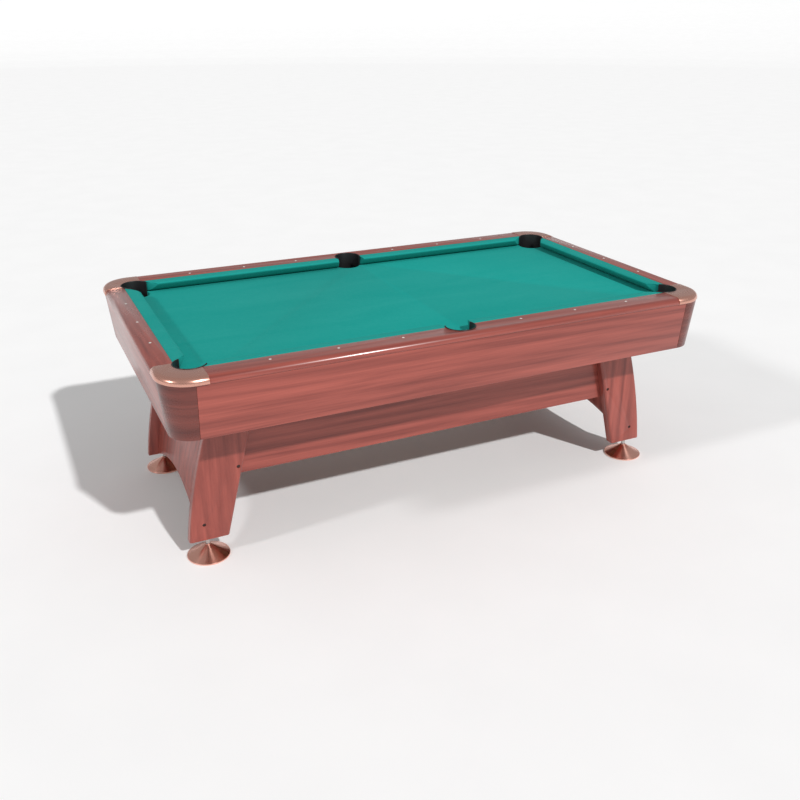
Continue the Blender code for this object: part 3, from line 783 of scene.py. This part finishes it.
class POOLTABLE_OT_cushions(bpy.types.Operator):
    """Wrap the six cushions: rubber noses under tight cloth, with faced ends at the pockets"""
    bl_idname = "pooltable.cushions"
    bl_label = "Cushions"
    bl_options = {"REGISTER", "UNDO"}

    def execute(self, context):
        corner = middle("pocket_far_right")
        side = middle("pocket_far_side")

        def side_end(depth):
            return cushion_reach(depth, SIDE_SETBACK, SIDE_FACING, NOSE_Y, side)

        def corner_end(depth):
            return cushion_reach(depth, NOSE_X - CORNER_SETBACK, CORNER_FACING, NOSE_Y, corner)

        def end_reach(depth):
            return cushion_reach(depth, NOSE_Y - CORNER_SETBACK, CORNER_FACING, NOSE_X, corner.yx)

        for name, (side_x, side_y) in QUADRANTS.items():
            cushion = shape_cushion(
                f"long_cushion_{name}", side_end, corner_end,
                lambda along, depth, height: (along * side_x, (NOSE_Y + depth) * side_y, height))
            self.cover(cushion, f"cushion_{name}")
        for end, side_x in ENDS.items():
            cushion = shape_cushion(
                f"end_cushion_{end}", lambda depth: -end_reach(depth), end_reach,
                lambda along, depth, height: ((NOSE_X + depth) * side_x, along, height))
            self.cover(cushion, f"cushion_{end}_end")
        return {"FINISHED"}

    def cover(self, cushion, node):
        finish(cushion, "cushion_cloth", stands_for=(node,), smooth=50)


# ---------------------------------------------------------------- rails, caps and sights
class POOLTABLE_OT_rails(bpy.types.Operator):
    """Mill the four rails with their bullnose edges and pocket notches"""
    bl_idname = "pooltable.rails"
    bl_label = "Rails"
    bl_options = {"REGISTER", "UNDO"}

    def execute(self, context):
        crown = context.scene.table_sizes.rail_round
        for side, side_y in SIDES.items():
            rail = self.rail(f"side_rail_board_{side}", RAIL, 1, side_y, crown)
            cut_away(rail, *collar_drums(f"{side}_left", f"{side}_side", f"{side}_right"))
            ease(rail, RAIL_EASE, 2, 50)
            finish(rail, "rail_x", stands_for=(f"side_rail_{side}",))
        for end, side_x in ENDS.items():
            rail = self.rail(f"end_rail_board_{end}", END_RAIL, 0, side_x, crown)
            cut_away(rail, *collar_drums(f"near_{end}", f"far_{end}"))
            ease(rail, RAIL_EASE, 2, 50)
            finish(rail, "rail_y", stands_for=(f"end_rail_{end}",))
        return {"FINISHED"}

    def rail(self, name, box, across, side, crown):
        """Board with a foot on the bed and an outer lip over the apron, its lip rounded above and below."""
        low, high = box
        inner, outer = low[across] * side, high[across] * side
        foot = outer - RAIL_FOOT * side
        outline = [(inner, low.z), (foot, low.z), (foot, RAIL_LIP), (outer, RAIL_LIP), (outer, high.z),
                   (inner, high.z)]
        along = 1 - across
        board = prism(name, outline, "YX"[across], low[along], high[along])
        round_off(board, crown, 8, lambda p: abs(p[across] - outer) < TOUCH and p.z > high.z - TOUCH)
        round_off(board, LIP_ROUND, 4, lambda p: abs(p[across] - outer) < TOUCH and p.z < RAIL_LIP + TOUCH)
        return board


class POOLTABLE_OT_caps(bpy.types.Operator):
    """Mould the four copper coloured corner caps"""
    bl_idname = "pooltable.caps"
    bl_label = "Corner Caps"
    bl_options = {"REGISTER", "UNDO"}

    def execute(self, context):
        low, high = CAP
        cap = block("cap_pattern", low, high)
        round_off(cap, CAP_RADIUS, 20, lambda p: p.x > high.x - TOUCH and p.y > high.y - TOUCH)
        hub = Vector((high.x - CAP_RADIUS, high.y - CAP_RADIUS))

        def outside(p):
            on_side = abs(p.x - high.x) < 1e-4 or abs(p.y - high.y) < 1e-4
            return on_side or abs((p.xy - hub).length - CAP_RADIUS) < 1e-4

        crown = context.scene.table_sizes.rail_round
        round_off(cap, crown, 8, lambda p: outside(p) and p.z > high.z - TOUCH)
        round_off(cap, LIP_ROUND, 4, lambda p: outside(p) and p.z < low.z + TOUCH)
        pocket = middle("pocket_far_right")
        inward = (0.80, 0.40, TOOL_LOW)
        notches = [block("notch", inward, (pocket.x, CUSHION_BACK_Y, TOOL_HIGH)),
                   block("notch", inward, (CUSHION_BACK_X, pocket.y, TOOL_HIGH))]
        cut_away(cap, *notches, *collar_drums("far_right"))
        ease(cap, 0.0008, 3, 50)
        at_corners(cap, "cap_moulding", "cap", "corner_cap", 40)
        return {"FINISHED"}


class POOLTABLE_OT_sights(bpy.types.Operator):
    """Let the eighteen round sights into the rails, an eighth of the playing length apart"""
    bl_idname = "pooltable.sights"
    bl_label = "Rail Sights"
    bl_options = {"REGISTER", "UNDO"}

    def execute(self, context):
        sizes = context.scene.table_sizes
        top = RAIL[1].z + 0.0002
        radius = sizes.sight_radius
        profile = [(radius * 0.96, top), (radius, top + 0.0002), (radius * 0.94, top + 0.0005),
                   (radius * 0.75, top + 0.0008), (radius * 0.45, top + 0.0010),
                   (radius * 0.12, top + 0.00105)]
        pattern = turned("sight_pattern", profile, (0, 0), 28)
        step = NOSE_X / 4
        across = NOSE_Y + sizes.sight_line
        along = NOSE_X + sizes.sight_line
        for side, side_y in SIDES.items():
            for number, count in enumerate((-3, -2, -1, 1, 2, 3), 1):
                self.place(pattern, f"sight_{side}_{number}", (count * step, across * side_y, 0))
        for end, side_x in ENDS.items():
            for number, count in enumerate((-1, 0, 1), 1):
                self.place(pattern, f"sight_{end}_{number}", (along * side_x, count * step, 0))
        drop(pattern)
        return {"FINISHED"}

    def place(self, pattern, name, shift):
        finish(copy_to(pattern, name, shift), "sight", smooth=50)


# ---------------------------------------------------------------- pockets
class POOLTABLE_OT_pockets(bpy.types.Operator):
    """Turn the six pocket liners, open at the mouth and closed in a cup below"""
    bl_idname = "pooltable.pockets"
    bl_label = "Pocket Liners"
    bl_options = {"REGISTER", "UNDO"}

    def execute(self, context):
        low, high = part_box("pocket_far_right")
        shoulder = BED[1].z
        profile = [(0.010, low.z), (0.0450, low.z), (0.0495, low.z + 0.0012), (0.0516, low.z + 0.0042),
                   (0.0524, low.z + 0.009), (0.0534, 0.660), (0.0542, 0.706), (0.0542, shoulder - 0.001),
                   (0.0560, shoulder + 0.0005), (0.0560, high.z - 0.0022), (0.0557, high.z - 0.0010),
                   (0.0549, high.z - 0.0002), (0.0540, high.z), (0.0531, high.z - 0.0002),
                   (0.0523, high.z - 0.0010), (0.0520, high.z - 0.0022), (0.0520, 0.706), (0.0510, 0.670),
                   (0.0496, low.z + 0.010), (0.0484, low.z + 0.0055), (0.0450, low.z + 0.0033),
                   (0.010, low.z + 0.0030)]
        for name, centre, facing, half_angle in pocket_places():
            liner = turned(f"pocket_liner_{name}", profile, centre, 72)
            cut_away(liner, self.mouth(centre, facing, half_angle))
            ease(liner, 0.0005, 2, 55)
            finish(liner, "pocket", stands_for=(f"pocket_{name}",), smooth=40)
        return {"FINISHED"}

    def mouth(self, centre, facing, half_angle):
        """Wedge that opens a liner towards the bed, above the bed's underside."""
        reach = 0.11
        start, end = math.degrees(facing - half_angle), math.degrees(facing + half_angle)
        corners = [(centre[0], centre[1])] + arc(centre, reach, start, end, 4)
        return prism("mouth_tool", corners, "Z", BED[0].z, TOOL_HIGH)


# ---------------------------------------------------------------- cabinet
class POOLTABLE_OT_apron(bpy.types.Operator):
    """Clad the cabinet: four leaning apron boards and four rounded corner pieces"""
    bl_idname = "pooltable.apron"
    bl_label = "Apron"
    bl_options = {"REGISTER", "UNDO"}

    def execute(self, context):
        arris = context.scene.table_sizes.arris
        low, high = APRON
        edge = high.y - APRON_LEAN
        for side, side_y in SIDES.items():
            outline = [(y * side_y, z) for y, z in self.section(edge, low.z, high.z)]
            board = prism(f"apron_board_{side}", outline, "X", low.x, high.x)
            ease(board, arris, 3, 50)
            finish(board, "apron_x", stands_for=(f"side_apron_{side}",))
        end_low, end_high = END_APRON
        end_edge = end_high.x - APRON_LEAN
        for end, side_x in ENDS.items():
            outline = [(x * side_x, z) for x, z in self.section(end_edge, low.z, high.z)]
            board = prism(f"apron_board_{end}", outline, "Y", end_low.y, end_high.y)
            ease(board, arris, 3, 50)
            finish(board, "apron_y", stands_for=(f"end_apron_{end}",))
        hub = (end_edge - APRON_RADIUS, edge - APRON_RADIUS)
        section = self.section(APRON_RADIUS, low.z, high.z)
        corner = swept("corner_pattern", section, hub, 0.0, math.radians(90), 24)
        for axis, seam in ((1, end_high.y), (0, high.x)):
            run = [0.0, 0.0, 0.0]
            run[axis] = seam + SEAM - hub[axis]
            pick(corner, "FACE", lambda p: abs(p[axis] - hub[axis]) < TOUCH)
            extrude(run)
            put_down()
        ease(corner, arris, 3, 50)
        at_corners(corner, "apron_corner_board", "corner", "apron_corner")
        return {"FINISHED"}

    def section(self, edge, low, high):
        """Leaning section of an apron board as (distance, height)."""
        return [(edge, low), (edge + APRON_LEAN, high), (edge + APRON_LEAN - APRON_THICK, high),
                (edge - APRON_THICK, low)]


# ---------------------------------------------------------------- base
def leg_edge(height):
    """Distance of a leg panel's outer edge from the middle of the table at a height."""
    rise = height - LEG[0].z
    return LEG_FOOT_X - LEG_SPLAY * rise - LEG_BOW * rise * rise


class POOLTABLE_OT_base(bpy.types.Operator):
    """Stand the four splayed leg panels, the arched end panels, the stretchers and their bolts"""
    bl_idname = "pooltable.base"
    bl_label = "Legs and Panels"
    bl_options = {"REGISTER", "UNDO"}

    def execute(self, context):
        sizes = context.scene.table_sizes
        self.legs(sizes)
        self.end_panels(sizes)
        for side in SIDES:
            dress(f"stretcher_{side}", "stretcher")
        self.bolts()
        return {"FINISHED"}

    def legs(self, sizes):
        low, high = LEG
        heights = [low.z + (high.z - low.z) * i / 20 for i in range(21)]
        inner_low, inner_high = LEG_INNER_X, low.x
        outline = [(inner_high, high.z), (inner_low, low.z)] + [(leg_edge(z), z) for z in heights]
        panel = prism("leg_pattern", outline, "Y", low.y, high.y)

        def on_outer_edge(p):
            return abs(p.x - leg_edge(p.z)) < TOUCH and p.y > high.y - TOUCH

        def on_inner_edge(p):
            share = (p.z - low.z) / (high.z - low.z)
            edge = inner_low + (inner_high - inner_low) * share
            return abs(p.x - edge) < TOUCH and p.y > high.y - TOUCH

        round_off(panel, sizes.leg_round, 7, on_outer_edge)
        round_off(panel, sizes.leg_round, 7, on_inner_edge)
        for kind in ("upper", "lower"):
            bolt = middle(f"leg_bolt_{kind}_far_right")
            head = drum("counterbore", (bolt.x, 0), 0.0068, -0.010, 0.010, 32)
            head.rotation_euler = (math.radians(90), 0, 0)
            head.location = (0, high.y + 0.0045, bolt.z)
            settle(head)
            cut_away(panel, head)
        stud = middle("leveller_stud_far_right")
        cut_away(panel, drum("stud_bore", stud, 0.0056, low.z - 0.01, 0.145, 32))
        ease(panel, sizes.arris, 2, 55)
        at_corners(panel, "leg_board", "leg", "leg_panel", 30)

    def end_panels(self, sizes):
        low, high = END_PANEL
        foot, top = LEG[0].z, LEG[1].z
        heights = [foot + (top - foot) * i / 20 for i in range(21)]
        outline = [(leg_edge(z) - END_SETBACK, z) for z in heights]
        outline += [(leg_edge(z) - END_SETBACK - END_THICK, z) for z in reversed(heights)]
        panel = prism("end_pattern", outline, "Y", low.y, high.y)
        half = high.y + 0.0103
        spring = foot - 0.004
        arch = [(-half, 0.0), (half, 0.0)]
        arch += [(y, ARCH_CROWN - (ARCH_CROWN - spring) * (y / half) ** 2)
                 for y in [half - 2 * half * i / 40 for i in range(41)]]
        cut_away(panel, prism("arch_tool", arch, "X", low.x - 0.05, high.x + 0.05))
        ease(panel, sizes.arris, 2, 50)
        for end, side_x in ENDS.items():
            made = mirror_to(panel, f"end_board_{end}", side_x, 1)
            finish(made, "end_panel", stands_for=(f"leg_end_panel_{end}",), smooth=30)
        drop(panel)

    def bolts(self):
        """Domed heads with a socket for the key, each on its shank."""
        low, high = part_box("leg_bolt_upper_far_right")
        head_low = high.y - 0.004
        profile = [(0.0018, low.y), (0.0030, low.y + 0.0012), (0.0030, head_low), (0.0062, head_low),
                   (0.0065, head_low + 0.0004), (0.0065, high.y - 0.0018), (0.0058, high.y - 0.0006),
                   (0.0045, high.y), (0.0028, high.y), (0.0026, high.y - 0.0022), (0.0005, high.y - 0.0024)]
        pattern = turned("bolt_pattern", profile, (0, 0), 24)
        pattern.rotation_euler = (math.radians(-90), 0, 0)
        settle(pattern)
        for kind in ("upper", "lower"):
            for name, (side_x, side_y) in QUADRANTS.items():
                place = middle(f"leg_bolt_{kind}_{name}")
                made = mirror_to(pattern, f"bolt_{kind}_{name}", 1, side_y)
                made.location = (place.x, 0, place.z)
                settle(made)
                finish(made, "black_steel", stands_for=(f"leg_bolt_{kind}_{name}",))
        drop(pattern)


class POOLTABLE_OT_levellers(bpy.types.Operator):
    """Turn the four levelling feet and their threaded studs"""
    bl_idname = "pooltable.levellers"
    bl_label = "Levelling Feet"
    bl_options = {"REGISTER", "UNDO"}

    def execute(self, context):
        pitch = context.scene.table_sizes.thread_pitch
        low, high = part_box("leveller_foot_far_right")
        radius = (high.x - low.x) / 2
        centre = (low + high) / 2
        foot = turned("foot_pattern", self.foot_profile(radius, high.z), centre, 96)
        stud = turned("stud_pattern", self.stud_profile(pitch), centre, 24)
        for name, (side_x, side_y) in QUADRANTS.items():
            made = mirror_to(foot, f"foot_plate_{name}", side_x, side_y)
            finish(made, "foot", f"foot_{name}", (f"leveller_foot_{name}",), 30)
            made = mirror_to(stud, f"threaded_stud_{name}", side_x, side_y)
            finish(made, "zinc", f"stud_{name}", (f"leveller_stud_{name}",), 30)
        drop(foot)
        drop(stud)
        return {"FINISHED"}

    def foot_profile(self, radius, top):
        """Flat underside, rolled rim, shallow groove, long cone and the socket's mouth."""
        neck = 0.0105
        rim = 0.006
        profile = [(0.010, 0.0), (radius - 0.0030, 0.0), (radius - 0.0012, 0.0004),
                   (radius - 0.0002, 0.0018), (radius - 0.0002, rim - 0.0022),
                   (radius - 0.0009, rim - 0.0006), (radius - 0.0024, rim + 0.0004)]
        for i in range(1, 15):
            t = i / 15
            profile.append((radius - 0.0024 + (neck - radius + 0.0024) * t,
                            rim + 0.0006 + (top - 0.0036 - rim) * t ** 1.12))
        profile += [(neck, top - 0.0024), (neck - 0.0004, top - 0.0010), (neck - 0.0016, top),
                    (0.0056, top), (0.0055, top - 0.0165), (0.0010, top - 0.0169)]
        return profile

    def stud_profile(self, pitch):
        """Thread crests below and above a tall plain collar."""
        low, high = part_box("leveller_stud_far_right")
        collar_low, collar_high = 0.0473, 0.0697
        crest, root = 0.0049, 0.0043
        profile = [(0.0038, low.z)]
        height = low.z + pitch / 2
        while height + pitch < collar_low:
            profile += [(crest, height), (root, height + pitch / 2)]
            height += pitch
        profile += [(crest, collar_low), (0.0072, collar_low), (0.0078, collar_low + 0.0006),
                    (0.0078, collar_high - 0.0006), (0.0072, collar_high), (root, collar_high)]
        height = collar_high + pitch / 2
        while height + pitch < high.z:
            profile += [(crest, height), (root, height + pitch / 2)]
            height += pitch
        return profile + [(0.0036, high.z)]


# ---------------------------------------------------------------- stage
class POOLTABLE_OT_stage(bpy.types.Operator):
    """Set the pale floor, the soft lights and the camera"""
    bl_idname = "pooltable.stage"
    bl_label = "Stage"
    bl_options = {"REGISTER", "UNDO"}

    def execute(self, context):
        scene = context.scene
        scene.view_settings.view_transform = "Standard"
        put_down()
        bpy.ops.mesh.primitive_circle_add(vertices=128, radius=30, fill_type="NGON",
                                          location=(0, 0, -0.0005))
        floor = settled("pale_floor")
        pick(floor, "EDGE", lambda p: True)
        for rise in (0.10, 0.20, 0.30, 0.40, 0.50, 0.60, 0.70, 0.80):
            extrude((0, 0, rise))
            bpy.ops.transform.resize(value=(1.08, 1.08, 1), center_override=(0, 0, 0))
        put_down()
        material, tree, shader = new_finish("pale floor")
        tone = spread(tree, noise(tree, object_place(tree), 3.0, 3.0), 0.3, 0.7)
        feed(tree, shader, {
            "Base Color": blend_colours(tree, tone, (0.95, 0.95, 0.95, 1), (0.97, 0.97, 0.97, 1)),
            "Roughness": 0.9, "Specular IOR Level": 0.1})
        floor.data.materials.append(material)
        world = bpy.data.worlds.new("soft room")
        world.use_nodes = True
        light = world.node_tree.nodes["Background"]
        feed(world.node_tree, light, {"Color": (1, 1, 1, 1), "Strength": 0.37})
        scene.world = world
        self.lamp("key light", (0.196, -0.730, 0.655), 2.0, 2.35)
        self.lamp("side light", (-0.84, -0.10, 0.50), 6.0, 0.75)
        self.camera(scene)
        return {"FINISHED"}

    def lamp(self, name, source, spread_degrees, strength):
        """Distant light shining from a direction, its disc spread over some degrees."""
        data = bpy.data.lights.new(name, "SUN")
        data.angle = math.radians(spread_degrees)
        data.energy = strength
        lamp = bpy.data.objects.new(name, data)
        lamp.rotation_euler = (-Vector(source)).to_track_quat("-Z", "Y").to_euler()
        bpy.context.scene.collection.objects.link(lamp)

    def camera(self, scene):
        data = bpy.data.cameras.new("camera")
        data.sensor_width = 36
        data.lens = 39.75
        data.clip_end = 200
        camera = bpy.data.objects.new("camera", data)
        camera.location = (-1.4557, -3.0986, 1.8021)
        aim = Vector((0.39171, 0.82570, -0.40595))
        camera.rotation_euler = aim.to_track_quat("-Z", "Y").to_euler()
        scene.collection.objects.link(camera)
        scene.camera = camera


class POOLTABLE_PT_pieces(bpy.types.Panel):
    """Lists the table's pieces and settings in the sidebar"""
    bl_idname = "POOLTABLE_PT_pieces"
    bl_label = "Pool Table"
    bl_space_type = "VIEW_3D"
    bl_region_type = "UI"
    bl_category = "Pool Table"

    def draw(self, context):
        layout = self.layout
        for settings in (context.scene.table_sizes, context.scene.table_colours):
            column = layout.column()
            for name in settings.__annotations__:
                column.prop(settings, name)
        column = layout.column()
        for operator in OPERATORS:
            column.operator(operator.bl_idname)


OPERATORS = (POOLTABLE_OT_bed, POOLTABLE_OT_cushions, POOLTABLE_OT_rails, POOLTABLE_OT_caps,
             POOLTABLE_OT_sights, POOLTABLE_OT_pockets, POOLTABLE_OT_apron, POOLTABLE_OT_base,
             POOLTABLE_OT_levellers, POOLTABLE_OT_stage)
CLASSES = (TableSizes, TableColours, *OPERATORS, POOLTABLE_PT_pieces)


def register():
    for item in CLASSES:
        bpy.utils.register_class(item)
    bpy.types.Scene.table_sizes = bpy.props.PointerProperty(type=TableSizes)
    bpy.types.Scene.table_colours = bpy.props.PointerProperty(type=TableColours)


def unregister():
    del bpy.types.Scene.table_colours
    del bpy.types.Scene.table_sizes
    for item in reversed(CLASSES):
        bpy.utils.unregister_class(item)


def main():
    register()
    make_finishes(bpy.context.scene.table_colours)
    for operator in OPERATORS:
        group, name = operator.bl_idname.split(".")
        getattr(getattr(bpy.ops, group), name)()


if __name__ == "__main__":
    main()
